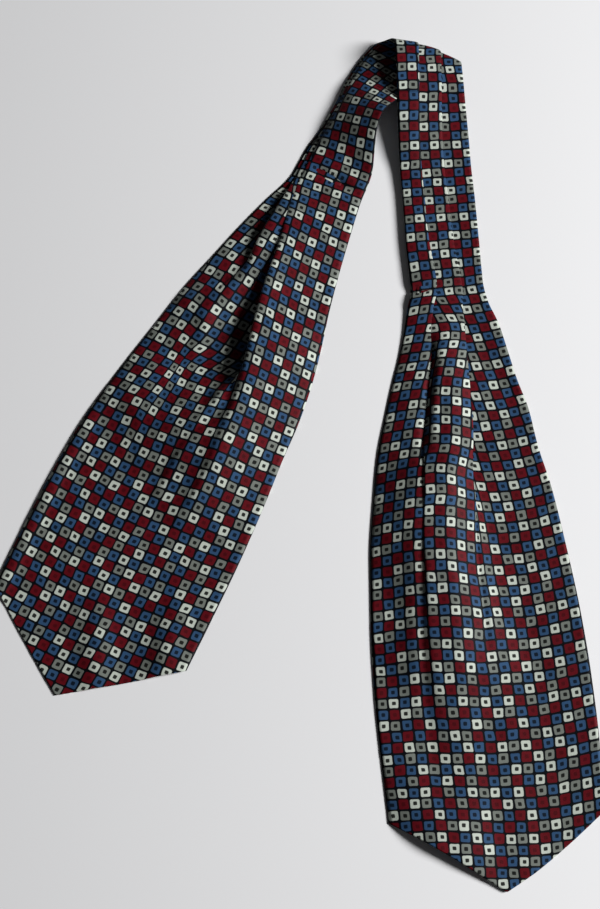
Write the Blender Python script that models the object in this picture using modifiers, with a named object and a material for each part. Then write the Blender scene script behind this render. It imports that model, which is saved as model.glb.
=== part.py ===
"""Silk day cravat, laid on a table.

One doubled strip of printed silk, 145 mm wide, with a point at each end.  Two knife pleats gather
it to a neckband of about 54 mm.  The strip lies face up from its right blade to the top of the
neckband, turns over there, comes out from under itself on the left and lies face down from there
to its left blade.

Every stretch is cut from one surface.  A point of the cloth is given by how far along the strip it
lies, from the right neck seam up, and how far across the strip.  Two rails, the strip's edges, lead
the cloth along; between the rails a cross-section folds it into its pleats.

Millimetres in the tables, metres in the scene.  +Z is up and the cloth rests on Z = 0.
"""

from collections import namedtuple

import bpy
import numpy as np

MM = 0.001

# ---------------------------------------------------------------- driving sizes, mm

CLOTH_WIDTH = 145.2         # the strip, edge to edge, pleats laid out
WALL = 1.0                  # both plies of silk, pressed together
LAYER = 1.8                 # from one folded layer to the next
PLEATED_LAYERS = 5          # layers of cloth over each other in the neckband
NARROW_TUCK = 15.0          # how far the narrow pleat tucks under
WIDE_TUCK = 30.0            # how far the wide pleat tucks under
SEAM_GAP = 0.5              # between one stretch and the next
CENTRE = (-3.8, 19.1)       # middle of the outline, which becomes the origin

BOTTOM = WALL / 2                               # middle of the lowest layer
TOP = BOTTOM + (PLEATED_LAYERS - 1) * LAYER     # middle of the highest layer
MIDDLE = (BOTTOM + TOP) / 2                     # middle of the stack, which the rails lead

# The roll at the top of the band: a half cylinder, its axis falling to the right.
ROLL_RADIUS = 7.2
ROLL_FROM = (72.4, 319.8)   # where it begins on the left rail
ROLL_SLOPE = 13.0           # degrees
ROLL_BULGE = 3.0            # how far it stands out halfway
EASE_LEFT = (206.0, 236.0)  # over these the left edge goes from the roll to its own way down
EASE_RIGHT = (208.0, 240.0) # and over these the right edge

# Places along the strip, measured from the right neck seam, over the turn, to the left point.
RIGHT_POINT = -431.0
RIGHT_CORNERS = -385.0
RIGHT_NECK = 0.0
TURN_START = 165.0
FLIP = 212.0                # halfway round the turn, where the face comes to lie down
TURN_END = 262.0
LEFT_NECK = 361.0
LEFT_CORNERS = 739.0
LEFT_POINT = 787.0
POINT_START = 90.0          # how far above the point the rows begin to lean to the hem

# ---------------------------------------------------------------- tables

# The strip's two edges.  Lift is how far the resting stack is raised there.  The right half runs on
# straight at its top, as if it had not been rolled over: the roll then bends it back.
Rail = namedtuple("Rail", "along left_x left_y left_lift right_x right_y right_lift")
RAILS_RIGHT = (
    Rail(-432, 60.5, -301, 0, 200, -294, 0),
    Rail(-384, 57.5, -255, 0, 199, -247, 0),
    Rail(-342, 53.5, -215, 0, 198, -204, 0),
    Rail(-296, 49.6, -169, 0, 195, -158, 0),
    Rail(-251, 48, -124, 0, 190, -113, 0),
    Rail(-205, 48, -78, 0, 182.8, -68, 0),
    Rail(-160, 51, -32, 0, 174.4, -24, 0),
    Rail(-129, 54, -2, 0, 166.8, 5, 0),
    Rail(-99, 60, 28, 0, 161, 35, 0),
    Rail(-76, 65, 51, 0, 154.2, 56, 0),
    Rail(-53, 70.5, 73, 0, 148, 80, 0),
    Rail(-34, 74.5, 92, 0, 143, 99, 0),
    Rail(-15, 77.5, 111, 0, 136, 117, 0),
    Rail(0, 80, 124, 0.3, 133, 131, 0.3),
    Rail(40, 78.2, 161.6, 1.4, 131, 166.6, 1.4),
    Rail(80, 75.6, 201.5, 2.6, 128.9, 205.5, 2.6),
    Rail(100, 74.4, 220.7, 6, 127.4, 224.7, 6),
    Rail(121, 73.6, 240.7, 11, 126.3, 244.9, 11),
    Rail(150, 72.8, 269.9, 13.8, 124.4, 272.7, 13.8),
    Rail(182, 72.4, 299.9, 14.4, 122.6, 302.8, 14.4),
    Rail(262, 70, 379, 14.4, 117.6, 381.7, 14.4),
)
RAILS_LEFT = (
    Rail(204, 77, 352, 12, 114, 315, 0),
    Rail(222, 65.5, 343, 6, 101, 303, 0),
    Rail(231, 56, 334, 3, 93, 297, 0.5),
    Rail(240, 47.5, 325.5, 1, 85.5, 290, 1.5),
    Rail(258, 39, 310.5, 0, 75.5, 280, 5),
    Rail(273, 33, 297.6, 0, 68.5, 272, 9),
    Rail(289, 27, 283.2, 0, 62.5, 264.1, 11.5),
    Rail(304, 20, 270, 0, 58, 251.4, 11),
    Rail(320, 12.5, 256, 0, 55.5, 234.5, 8),
    Rail(334, 5, 244, 0, 53.5, 220.5, 3.6),
    Rail(348, -1, 231.8, 0, 50, 210.6, 0.8),
    Rail(361, -7, 220, 0, 46, 201, 0),
    Rail(395, -25.7, 199.6, 0, 36.5, 169, 0),
    Rail(425, -45.7, 176.6, 0, 28.5, 139.5, 0),
    Rail(456, -64.2, 153.6, 0, 21.3, 110, 0),
    Rail(486, -83.7, 129.6, 0, 15, 79.6, 0),
    Rail(516, -103.6, 101, 0, 8, 50.4, 0),
    Rail(547, -122.8, 73.4, 0, -1.4, 21.4, 0),
    Rail(577, -139.8, 47.9, 0, -12.4, -5.6, 0),
    Rail(608, -154.8, 23.4, 0, -23.4, -34.6, 0),
    Rail(653, -174.8, -16.6, 0, -40.6, -77, 0),
    Rail(699, -192.8, -57.3, 0, -59, -118.4, 0),
    Rail(740, -209, -95.6, 0, -76.6, -156.2, 0),
    Rail(788, -229, -139.6, 0, -97, -199, 0),
)

# A pleat.  Edge is its visible fold, from the left rail; tuck is how far the cloth goes back under
# it, and less than nothing where the pleat has opened into a ridge and a hollow beside it.  Ridge
# and hollow are the heights of the two folds over the table.
Pleat = namedtuple("Pleat", "along edge tuck ridge hollow")
NARROW_RIGHT = (
    Pleat(-432, 33, -14, 2.0, 2.5),
    Pleat(-400, 33, -14, 6.4, 5.6),
    Pleat(-365, 32, -14, 3.6, 3.4),
    Pleat(-334, 31, -14, 1.8, 2.6),
    Pleat(-304, 31, -14, 2.4, 4.6),
    Pleat(-273, 31, -12, 7.0, 10.0),
    Pleat(-242, 32, -10, 6.6, 9.4),
    Pleat(-212, 33, -8, 9.8, 12.4),
    Pleat(-181, 33, -6, 10.4, 11.6),
    Pleat(-150, 33, -4, 10.8, 12.8),
    Pleat(-120, 31, -2, 6.6, 5.8),
    Pleat(-89, 28.5, 0, 6.2, 3.2),
    Pleat(-58, 25, 2, 6.8, 3.7),
    Pleat(-34, 20, 5, 7.4, MIDDLE),
    Pleat(-15, 19, 11, 7.6, MIDDLE),
    Pleat(0, 19.4, NARROW_TUCK, TOP, MIDDLE),
    Pleat(60, 16.5, NARROW_TUCK, TOP, MIDDLE),
    Pleat(121, 16, NARROW_TUCK + 1, TOP, MIDDLE),
    Pleat(212, 18, NARROW_TUCK + 1.5, TOP, MIDDLE),
)
WIDE_RIGHT = (
    Pleat(-432, 72, -18, 1.6, 1.0),
    Pleat(-400, 72, -18, 2.0, 1.0),
    Pleat(-365, 72, -18, 1.4, 0.8),
    Pleat(-334, 74, -16, 1.4, 0.8),
    Pleat(-304, 74, -14, 2.8, 1.2),
    Pleat(-273, 74, -12, 6.6, 2.8),
    Pleat(-242, 73, -11, 7.0, 1.8),
    Pleat(-212, 71, -10, 7.0, 1.4),
    Pleat(-181, 69, -8, 6.8, 1.2),
    Pleat(-150, 68, 0, 5.0, 1.0),
    Pleat(-120, 66, 10, 4.4, BOTTOM),
    Pleat(-89, 59, 18, MIDDLE, BOTTOM),
    Pleat(-58, 50.5, 25, MIDDLE, BOTTOM),
    Pleat(-34, 44, 29, MIDDLE, BOTTOM),
    Pleat(-15, 40, 30, MIDDLE, BOTTOM),
    Pleat(0, 38, WIDE_TUCK, MIDDLE, BOTTOM),
    Pleat(60, 34.5, WIDE_TUCK, MIDDLE, BOTTOM),
    Pleat(121, 33, WIDE_TUCK + 1, MIDDLE, BOTTOM),
    Pleat(212, 35, WIDE_TUCK + 1.5, MIDDLE, BOTTOM),
)
NARROW_LEFT = (
    Pleat(212, 1.5, NARROW_TUCK + 1.5, MIDDLE, BOTTOM),
    Pleat(300, 3, NARROW_TUCK + 2, MIDDLE, BOTTOM),
    Pleat(361, 4, NARROW_TUCK - 1.5, MIDDLE, BOTTOM),
    Pleat(377, 7, 11, 3.8, BOTTOM),
    Pleat(395, 11, 7, 4.4, BOTTOM),
    Pleat(425, 18, 2.5, 6.8, 0.8),
    Pleat(456, 27, -4, 7.4, 2.6),
    Pleat(475, 27, -9, 7.2, 4.2),
    Pleat(494, 24.5, -12, 7.4, 4.8),
    Pleat(508, 30, -12, 4.8, 3.0),
    Pleat(530, 38, -12, 2.0, 1.8),
    Pleat(552, 43, -13, 4.8, 4.6),
    Pleat(577, 45, -13, 5.8, 5.4),
    Pleat(600, 46, -13, 4.2, 1.6),
    Pleat(625, 46, -13, 0.8, 0.6),
    Pleat(650, 46, -13, BOTTOM, BOTTOM),
)
WIDE_LEFT = (
    Pleat(212, 3.5, WIDE_TUCK + 1.5, TOP, MIDDLE),
    Pleat(250, 5, WIDE_TUCK + 2, TOP, BOTTOM + 0.5 * LAYER),
    Pleat(300, 6, WIDE_TUCK + 2.5, TOP, BOTTOM),
    Pleat(361, 8, WIDE_TUCK - 1, TOP, BOTTOM),
    Pleat(380, 13, 29, 7.8, BOTTOM),
    Pleat(395, 19, 28, 8.4, BOTTOM),
    Pleat(425, 34, 24, 10.2, BOTTOM),
    Pleat(456, 45, 19, 11.6, 0.8),
    Pleat(486, 58.5, 13, 14.0, 0.8),
    Pleat(516, 72, 6, 15.4, 1.0),
    Pleat(532, 78, -5, 14.8, 3.5),
    Pleat(547, 84, -14, 14.2, 6.2),
    Pleat(577, 91, -20, 14.0, 9.0),
    Pleat(592, 94, -22, 12.0, 7.2),
    Pleat(608, 96, -24, 9.6, 3.4),
    Pleat(625, 96, -24, 6.8, 1.4),
    Pleat(640, 94, -24, 3.6, 1.0),
    Pleat(653, 94, -24, 1.4, 0.8),
    Pleat(690, 92, -24, BOTTOM, BOTTOM),
)

# The three panels: height of the strip's edges and crown of each panel.  The rows of the print bow
# towards the point, and sway: the left of a row forward, the right of it back.
Panel = namedtuple("Panel", "along left_edge right_edge left_crown middle_crown right_crown bow sway")
PANELS_RIGHT = (
    Panel(-432, BOTTOM, 1.0, 0.5, 0.0, 0.0, 3.5, 1.5),
    Panel(-400, BOTTOM, 2.4, 1.2, 0.2, -1.4, 3.5, 1.5),
    Panel(-365, BOTTOM, 3.0, 1.2, 0.4, -1.4, 3.5, 1.5),
    Panel(-334, BOTTOM, 3.2, 0.2, 0.6, -1.2, 3.4, 1.6),
    Panel(-304, BOTTOM, 3.2, -1.2, 0.8, -1.6, 3.3, 1.9),
    Panel(-273, BOTTOM, 3.2, -0.8, 2.0, -2.8, 3.1, 2.3),
    Panel(-242, BOTTOM, 3.2, -2.2, 2.3, -1.8, 3.0, 2.5),
    Panel(-212, BOTTOM, 3.2, -0.8, 3.0, -0.9, 2.9, 2.7),
    Panel(-181, BOTTOM, 3.4, 0.4, 2.2, -0.8, 2.8, 2.9),
    Panel(-150, BOTTOM, 3.4, 0.4, 4.4, -0.6, 2.6, 3.0),
    Panel(-120, BOTTOM, 3.4, 0.2, 6.4, -0.6, 2.4, 2.6),
    Panel(-89, BOTTOM, 3.0, 1.0, 5.4, 1.0, 2.1, 1.8),
    Panel(-58, BOTTOM, 2.6, 1.2, 4.6, 1.0, 1.5, 1.0),
    Panel(-34, 1.4, 1.8, 1.2, 2.6, 0.8, 1.0, 0.5),
    Panel(-12, 3.4, 1.0, 1.0, 0.9, 0.4, 0.4, 0.2),
    Panel(0, 4.6, BOTTOM, 1.0, 0.5, 0.4, 0.0, 0.0),
    Panel(150, 5.2, BOTTOM, 0.6, 0.3, 0.3, 0.0, 0.0),
    Panel(190, TOP, BOTTOM, 0.0, 0.0, 0.0, 0.0, 0.0),
    Panel(212, TOP, BOTTOM, 0.0, 0.0, 0.0, 0.0, 0.0),
)
PANELS_LEFT = (
    Panel(212, BOTTOM, TOP, 0.0, 0.0, 0.0, 0.0, 0.0),
    Panel(250, BOTTOM, 4.5, 0.0, 0.9, 1.6, 0.0, 0.0),
    Panel(273, BOTTOM, 6.5, 0.0, 1.1, 2.0, 0.0, 0.0),
    Panel(289, BOTTOM, 6.5, 0.0, 1.2, 2.2, 0.0, 0.0),
    Panel(310, BOTTOM, 4.0, 0.0, 1.3, 2.4, 0.0, 0.0),
    Panel(334, BOTTOM, 1.6, 0.0, 1.4, 2.6, 0.0, 0.0),
    Panel(350, BOTTOM, BOTTOM, 0.0, 1.4, 2.6, 0.0, 0.0),
    Panel(361, BOTTOM, BOTTOM, 0.0, 1.4, 2.4, 0.0, 0.0),
    Panel(395, BOTTOM, BOTTOM, 0.0, 1.2, 1.4, -0.6, 0.0),
    Panel(425, BOTTOM, BOTTOM, 0.8, 0.8, 0.4, -1.5, 0.0),
    Panel(456, BOTTOM, BOTTOM, 0.6, -1.0, -2.0, -2.3, 0.0),
    Panel(475, BOTTOM, BOTTOM, 0.6, -1.8, 0.4, -2.7, 0.0),
    Panel(494, BOTTOM, BOTTOM, 0.6, -3.2, 1.6, -3.0, 0.0),
    Panel(508, BOTTOM, 1.2, 0.8, -2.0, 1.2, -3.0, 0.0),
    Panel(530, BOTTOM, 2.0, 0.8, -0.6, 0.6, -3.2, 0.0),
    Panel(560, BOTTOM, 2.0, 0.6, 0.2, -0.4, -3.3, 0.0),
    Panel(590, BOTTOM, 1.0, -0.4, 0.2, -1.0, -3.3, 0.0),
    Panel(620, BOTTOM, BOTTOM, -0.2, 0.2, -1.0, -3.3, 0.0),
    Panel(660, BOTTOM, 1.0, 0.0, 0.0, -0.4, -3.3, 0.0),
    Panel(700, BOTTOM, 2.4, 0.0, 0.0, 0.0, -3.3, 0.0),
    Panel(788, BOTTOM, 2.0, 0.0, 0.0, 0.0, -3.3, 0.0),
)

# Where the points inside a panel stand between its folds, and their share of its crown.
Places = namedtuple("Places", "left middle right")
PLACES_RIGHT = Places(
    ((0.33, 0.9), (0.67, 0.9)), ((0.4, 1.0), (0.72, 0.62)), ((0.3, 1.0), (0.6, 0.3), (0.86, 0.0))
)
PLACES_LEFT = Places(
    ((0.33, 0.9), (0.67, 0.9)), ((0.2, 1.0), (0.6, 0.85)), ((0.25, 0.65), (0.5, 1.0), (0.8, 0.95))
)
MIDWAY = ((0.5, 1.0),)

# Stretches of the strip, a solid each: where each begins and ends, and how many rows of faces.
Stretch = namedtuple("Stretch", "name start end rows")
STRETCHES = (
    Stretch("right_blade", RIGHT_POINT, RIGHT_NECK, 34),
    Stretch("right_neckband", RIGHT_NECK, TURN_START, 14),
    Stretch("neckband_turn", TURN_START, TURN_END, 24),
    Stretch("left_neckband", TURN_END, LEFT_NECK, 13),
    Stretch("left_blade", LEFT_NECK, LEFT_POINT, 34),
)
SAMPLES_PER_SPAN = 2        # points across the strip for each stretch of the section's curve

SILK_COLOUR = (0.10, 0.075, 0.10, 1.0)
SILK_ROUGHNESS = 0.42


# ---------------------------------------------------------------- the cloth's surface

def read_table(table, along):
    """Every column of a table at one place along the strip, on smooth curves with no overshoot."""
    rows = np.array(table, float)
    place = min(max(along, rows[0, 0]), rows[-1, 0])
    steps = np.diff(rows[:, 0])
    slopes = np.diff(rows, axis=0) / steps[:, None]
    before, after = slopes[:-1], slopes[1:]
    same_way = before * after > 0
    safe_sum = np.where(same_way, before + after, 1.0)
    inner = np.where(same_way, 2 * before * after / safe_sum, 0.0)
    tangents = np.vstack([slopes[:1], inner, slopes[-1:]])
    i = min(int(np.searchsorted(rows[:, 0], place, side="right")) - 1, len(steps) - 1)
    f = (place - rows[i, 0]) / steps[i]
    values = (
        (1 + 2 * f) * (1 - f) ** 2 * rows[i]
        + f * (1 - f) ** 2 * steps[i] * tangents[i]
        + f * f * (3 - 2 * f) * rows[i + 1]
        + f * f * (f - 1) * steps[i] * tangents[i + 1]
    )
    return type(table[0])(*values)


def panel_points(start, end, crown, places):
    """Points inside a panel between two folds, raised by its crown."""
    points = []
    for f, share in places:
        x = start[0] + (end[0] - start[0]) * f
        height = start[1] + (end[1] - start[1]) * f + crown * share
        points.append((x, height))
    return points


def fold_pair(x, first, second, spread):
    """Two control points that round a fold, apart by one layer, and sideways once it has opened."""
    return [(x - spread, first), (x + spread, second)]


def section_controls(along, width):
    """Control points of the cross-section, from the left rail to the right one: (x, height)."""
    face_up = along < FLIP
    if face_up:
        narrow, wide = read_table(NARROW_RIGHT, along), read_table(WIDE_RIGHT, along)
        panels, places = read_table(PANELS_RIGHT, along), PLACES_RIGHT
    else:
        narrow, wide = read_table(NARROW_LEFT, along), read_table(WIDE_LEFT, along)
        panels, places = read_table(PANELS_LEFT, along), PLACES_LEFT
    folds = []
    for pleat in (narrow, wide):
        gap = min(LAYER, max(pleat.ridge - pleat.hollow, 0.0) / 2)
        spread = min(max((4.0 - pleat.tuck) / 8.0, 0.0), 1.0) * 3.0
        if face_up:
            folds.append(fold_pair(pleat.edge, pleat.ridge, pleat.ridge - gap, spread))
            folds.append(fold_pair(pleat.edge - pleat.tuck, pleat.hollow + gap, pleat.hollow, spread))
        else:
            folds.append(fold_pair(pleat.edge + pleat.tuck, pleat.hollow, pleat.hollow + gap, spread))
            folds.append(fold_pair(pleat.edge, pleat.ridge - gap, pleat.ridge, spread))
    return_crown = 0.0 if face_up else min(0.8 * panels.middle_crown, panels.right_crown)
    left_edge, right_edge = (0.0, panels.left_edge), (width, panels.right_edge)
    right_base = (width, 0.3 * BOTTOM + 0.7 * panels.right_edge) if face_up else right_edge
    points = [left_edge]
    points += panel_points(left_edge, folds[0][0], panels.left_crown, places.left) + folds[0]
    points += panel_points(folds[0][1], folds[1][0], 0.0, MIDWAY) + folds[1]
    points += panel_points(folds[1][1], folds[2][0], panels.middle_crown, places.middle) + folds[2]
    points += panel_points(folds[2][1], folds[3][0], return_crown, MIDWAY) + folds[3]
    points += panel_points(folds[3][1], right_base, panels.right_crown, places.right) + [right_edge]
    return points, (panels.bow, panels.sway)


def section_curve(controls, samples):
    """A quadratic B-spline through the section's control points, its ends on the first and last."""
    points = np.array(controls)
    curve = [points[0]]
    for i in range(1, len(points) - 1):
        start = points[0] if i == 1 else (points[i - 1] + points[i]) / 2
        end = points[-1] if i == len(points) - 2 else (points[i] + points[i + 1]) / 2
        for k in range(1, samples + 1):
            f = k / samples
            curve.append((1 - f) ** 2 * start + 2 * f * (1 - f) * points[i] + f * f * end)
    return np.array(curve)


def rail_points(table, along):
    """The two rails at one place along the strip."""
    rail = read_table(table, along)
    left = np.array([rail.left_x - CENTRE[0], rail.left_y - CENTRE[1], MIDDLE + rail.left_lift])
    right = np.array([rail.right_x - CENTRE[0], rail.right_y - CENTRE[1], MIDDLE + rail.right_lift])
    return left, right


def rail_width(table, along):
    """How far apart the rails are, measured flat on the table."""
    left, right = rail_points(table, along)
    return float(np.hypot(*(right - left)[:2]))


def roll_over(point, t):
    """Bends the straight band back over the roll.  Gives the new point and the cloth's normal."""
    slope = np.radians(ROLL_SLOPE)
    across_roll = np.array([np.sin(slope), np.cos(slope), 0.0])
    start = np.array([ROLL_FROM[0] - CENTRE[0], ROLL_FROM[1] - CENTRE[1], 0.0])
    beyond = float((point - start) @ across_roll) - ROLL_BULGE * 4 * t * (1 - t)
    if beyond <= 0.0:
        return point, np.array([0.0, 0.0, 1.0])
    angle = min(beyond / ROLL_RADIUS, np.pi)
    rest = beyond - angle * ROLL_RADIUS
    bent = point - across_roll * (beyond + rest - ROLL_RADIUS * np.sin(angle))
    bent = bent - np.array([0.0, 0.0, ROLL_RADIUS * (1 - np.cos(angle))])
    return bent, np.array([0.0, 0.0, np.cos(angle)]) + across_roll * np.sin(angle)


def roll_ease(along, t):
    """0 while the cloth is on the roll, 1 once it lies on its own way down; t runs across."""
    start = EASE_LEFT[0] + (EASE_RIGHT[0] - EASE_LEFT[0]) * t
    end = EASE_LEFT[1] + (EASE_RIGHT[1] - EASE_LEFT[1]) * t
    ease = min(max((along - start) / (end - start), 0.0), 1.0)
    return ease * ease * (3 - 2 * ease)


def cloth_row(along, samples):
    """One row of the cloth from rail to rail, in millimetres."""
    ease = roll_ease(along, 0.5)
    width = rail_width(RAILS_RIGHT, along) * (1 - ease) + rail_width(RAILS_LEFT, along) * ease
    table = RAILS_RIGHT if along < FLIP else RAILS_LEFT
    controls, (bow, sway) = section_controls(along, width)
    row = []
    for x, curve_height in section_curve(controls, samples):
        t = x / width
        height = max(curve_height, BOTTOM)
        face_rise = height - MIDDLE if along < FLIP else MIDDLE - height
        ease = roll_ease(along, t)
        if TURN_START < along < EASE_RIGHT[1]:
            flat_left, flat_right = rail_points(RAILS_RIGHT, along)
            point, normal = roll_over(flat_left * (1 - t) + flat_right * t, t)
            point = point + normal * face_rise
            if ease > 0.0:
                settled = rail_chord(RAILS_LEFT, along, t, face_rise, bow, sway)
                point = point * (1 - ease) + settled * ease
        else:
            point = rail_chord(table, along, t, face_rise, bow, sway)
        row.append(point)
    return np.array(row)


def rail_chord(table, along, t, face_rise, bow, sway):
    """A point between the rails, raised along the cloth's own normal."""
    left, right = rail_points(table, along)
    left_before, right_before = rail_points(table, along - 1.0)
    left_after, right_after = rail_points(table, along + 1.0)
    across = right - left
    forward = (left_after - left_before) * (1 - t) + (right_after - right_before) * t
    forward /= np.linalg.norm(forward)
    outward = np.cross(across, forward)
    outward /= np.linalg.norm(outward)
    drift = sway * np.sin(2 * np.pi * t) - bow * 4 * t * (1 - t)
    return left + across * t + outward * face_rise + forward * drift


def row_place(stretch, fraction, side):
    """Where a row point lies along the strip: towards a point the rows lean to the hem."""
    start = stretch.start + (SEAM_GAP / 2 if stretch.start > RIGHT_POINT else 0.0)
    end = stretch.end - (SEAM_GAP / 2 if stretch.end < LEFT_POINT else 0.0)
    along = start + (end - start) * fraction
    for point, corners in ((RIGHT_POINT, RIGHT_CORNERS), (LEFT_POINT, LEFT_CORNERS)):
        lean_from = point - np.sign(point) * POINT_START
        if (along - lean_from) * np.sign(point) > 0:
            hem = point + (corners - point) * abs(2 * side - 1)
            along = lean_from + (along - lean_from) * (hem - lean_from) / (point - lean_from)
    return along


def column_sides(stretch):
    """How far across the flat strip, 0 to 1, each column lies at a stretch's blade end."""
    along = RIGHT_CORNERS if stretch.start < RIGHT_NECK else LEFT_CORNERS
    curve = section_curve(section_controls(along, CLOTH_WIDTH)[0], SAMPLES_PER_SPAN)
    return curve[:, 0] / CLOTH_WIDTH


# ---------------------------------------------------------------- the scene

def clear_scene():
    for old in list(bpy.data.objects):
        bpy.data.objects.remove(old, do_unlink=True)


def silk_material(name):
    material = bpy.data.materials.new(name)
    material.use_nodes = True
    shader = material.node_tree.nodes["Principled BSDF"]
    shader.inputs["Base Color"].default_value = SILK_COLOUR
    shader.inputs["Roughness"].default_value = SILK_ROUGHNESS
    shader.inputs["Metallic"].default_value = 0.0
    return material


def build_stretch(stretch, collection):
    """A grid laid on the cloth's surface, given its wall by Solidify."""
    sides = column_sides(stretch)
    columns = len(sides)
    bpy.ops.mesh.primitive_grid_add(x_subdivisions=columns - 1, y_subdivisions=stretch.rows, size=1.0)
    piece = bpy.context.active_object
    piece.name = stretch.name
    piece.data.name = stretch.name
    rows = {}
    for vertex in piece.data.vertices:
        column = int(round((vertex.co.x + 0.5) * (columns - 1)))
        fraction = round((vertex.co.y + 0.5) * stretch.rows) / stretch.rows
        along = row_place(stretch, fraction, sides[column])
        if along not in rows:
            rows[along] = cloth_row(along, SAMPLES_PER_SPAN)
        vertex.co = rows[along][column] * MM
    wall = piece.modifiers.new("wall", "SOLIDIFY")
    wall.thickness = WALL * MM
    wall.offset = 0.0
    wall.use_even_offset = True
    wall.thickness_clamp = 2.0
    piece.data.materials.append(silk_material(stretch.name + "_silk"))
    piece.data.shade_smooth()
    for old in list(piece.users_collection):
        old.objects.unlink(piece)
    collection.objects.link(piece)
    return piece


def main():
    clear_scene()
    collection = bpy.data.collections.new("silk_cravat")
    bpy.context.scene.collection.children.link(collection)
    for stretch in STRETCHES:
        build_stretch(stretch, collection)


main()
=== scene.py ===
from collections import namedtuple

import bpy
import numpy as np
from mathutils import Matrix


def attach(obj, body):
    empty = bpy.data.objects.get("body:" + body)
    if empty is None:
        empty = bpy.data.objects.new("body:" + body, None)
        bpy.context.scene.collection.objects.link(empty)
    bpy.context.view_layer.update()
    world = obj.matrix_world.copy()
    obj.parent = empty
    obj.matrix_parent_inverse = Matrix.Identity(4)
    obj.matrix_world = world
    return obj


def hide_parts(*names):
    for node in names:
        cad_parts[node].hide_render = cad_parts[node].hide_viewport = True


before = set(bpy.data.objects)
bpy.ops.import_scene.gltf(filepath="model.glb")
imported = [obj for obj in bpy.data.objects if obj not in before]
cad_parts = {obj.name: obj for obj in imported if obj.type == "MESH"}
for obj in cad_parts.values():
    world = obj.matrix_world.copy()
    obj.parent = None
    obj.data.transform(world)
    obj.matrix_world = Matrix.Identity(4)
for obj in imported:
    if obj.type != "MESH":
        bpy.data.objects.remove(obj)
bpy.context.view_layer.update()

# ---------------------------------------------------------------- right blade
# The wide end of a strip of printed silk twill, cut to a point, face up.  Front and back are cut
# alike, sewn face to face, turned and pressed.  Two knife pleats leave the stitches across the neck,
# open on the way down and die out; the blade then lies flat on the table.

MM = 0.001
CENTRE = (-3.8, 19.1)       # middle of the outline, the origin, mm
CLOTH_WIDTH = 145.2         # the strip, edge to edge, pleats laid out, mm
WALL = 0.6                  # both plies pressed together
LAYER = 0.8                 # from one folded layer to the next
BOTTOM = 0.5                # middle of the lowest layer over the table
MIDDLE = BOTTOM + 2 * LAYER     # the layer that the rails lead
TOP = BOTTOM + 4 * LAYER
LOW, HIGH = BOTTOM + 0.1, TOP - 0.1     # lowest and highest layer where the roll presses them
NARROW_TUCK = 15.0          # how far the narrow pleat tucks under
WIDE_TUCK = 30.0            # how far the wide pleat tucks under
SEAM_GAP = 0.3              # at the stitches across the neck

# The strip's two edges.  Along is measured from the right neck, up over the turn and down to the
# left point.  Lift is how far the resting stack is raised.  The last row of the right half carries
# the band straight on, for the roll to bend back.
Rail = namedtuple("Rail", "along left_x left_y left_lift right_x right_y right_lift")
RAILS_RIGHT = (
    Rail(-432, 60.5, -301, 0, 200, -294, 0),
    Rail(-384, 57.5, -255, 0, 199, -247, 0),
    Rail(-342, 53.5, -215, 0, 198, -204, 0),
    Rail(-296, 49.6, -169, 0, 195, -158, 0),
    Rail(-251, 48, -124, 0, 190, -113, 0),
    Rail(-205, 48, -78, 0, 182.8, -68, 0),
    Rail(-160, 51, -32, 0, 174.4, -24, 0),
    Rail(-129, 54, -2, 0, 166.8, 5, 0),
    Rail(-99, 60, 28, 0, 161, 35, 0),
    Rail(-76, 65, 51, 0, 154.2, 56, 0),
    Rail(-53, 70.5, 73, 0, 148, 80, 0),
    Rail(-34, 74.5, 92, 0, 143, 99, 0),
    Rail(-15, 77.5, 111, 0, 136, 117, 0),
    Rail(0, 80, 124, 0.3, 133, 131, 0.3),
    Rail(40, 77.4, 161.6, 0.5, 131, 166.6, 0.5),
    Rail(80, 75.6, 201.5, 0.3, 128.9, 205.5, 0.3),
    Rail(100, 74.4, 220.7, 0.8, 127.4, 224.7, 0.6),
    Rail(121, 73.6, 240.7, 3.8, 126.3, 244.9, 2.4),
    Rail(150, 72.8, 269.9, 8.5, 124.4, 272.7, 6),
    Rail(182, 72.4, 299.9, 13, 122.6, 302.8, 9.2),
    Rail(262, 70, 379, 14.4, 117.6, 381.7, 9.8),
)

# A pleat.  Edge is its visible fold, from the left rail; tuck is how far the cloth goes back under
# it, and less than nothing where it has opened into a ridge with a hollow beside it.  Ridge and
# hollow are the heights of the two folds over the table, to which the rails add their lift.
Pleat = namedtuple("Pleat", "along edge tuck ridge hollow")
NARROW_RIGHT = (
    Pleat(-432, 33, -14, 2.0, 2.5),
    Pleat(-400, 33, -14, 6.4, 5.6),
    Pleat(-365, 32, -14, 3.6, 3.4),
    Pleat(-334, 31, -14, 1.8, 2.6),
    Pleat(-304, 31, -14, 2.4, 4.6),
    Pleat(-273, 31, -12, 7.0, 10.0),
    Pleat(-242, 32, -10, 6.6, 9.4),
    Pleat(-212, 33, -8, 9.8, 12.4),
    Pleat(-181, 33, -6, 10.4, 11.6),
    Pleat(-150, 33, -4, 10.8, 12.8),
    Pleat(-120, 31, -2, 6.6, 5.8),
    Pleat(-89, 28.5, 0, 5.0, 1.6),
    Pleat(-58, 25, 2, 3.6, 1.2),
    Pleat(-34, 20, 5, 3.2, 1.2),
    Pleat(-15, 19, 11, 4.6, 2.2),
    Pleat(0, 19.4, NARROW_TUCK, TOP, MIDDLE),
    Pleat(60, 16.5, NARROW_TUCK, TOP, MIDDLE),
    Pleat(121, 16, NARROW_TUCK + 1, TOP, MIDDLE),
    Pleat(150, 16.5, NARROW_TUCK + 1, TOP, MIDDLE),
    Pleat(190, 17.4, NARROW_TUCK + 1.5, HIGH, MIDDLE),
    Pleat(212, 18, NARROW_TUCK + 1.5, HIGH, MIDDLE),
)
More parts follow.
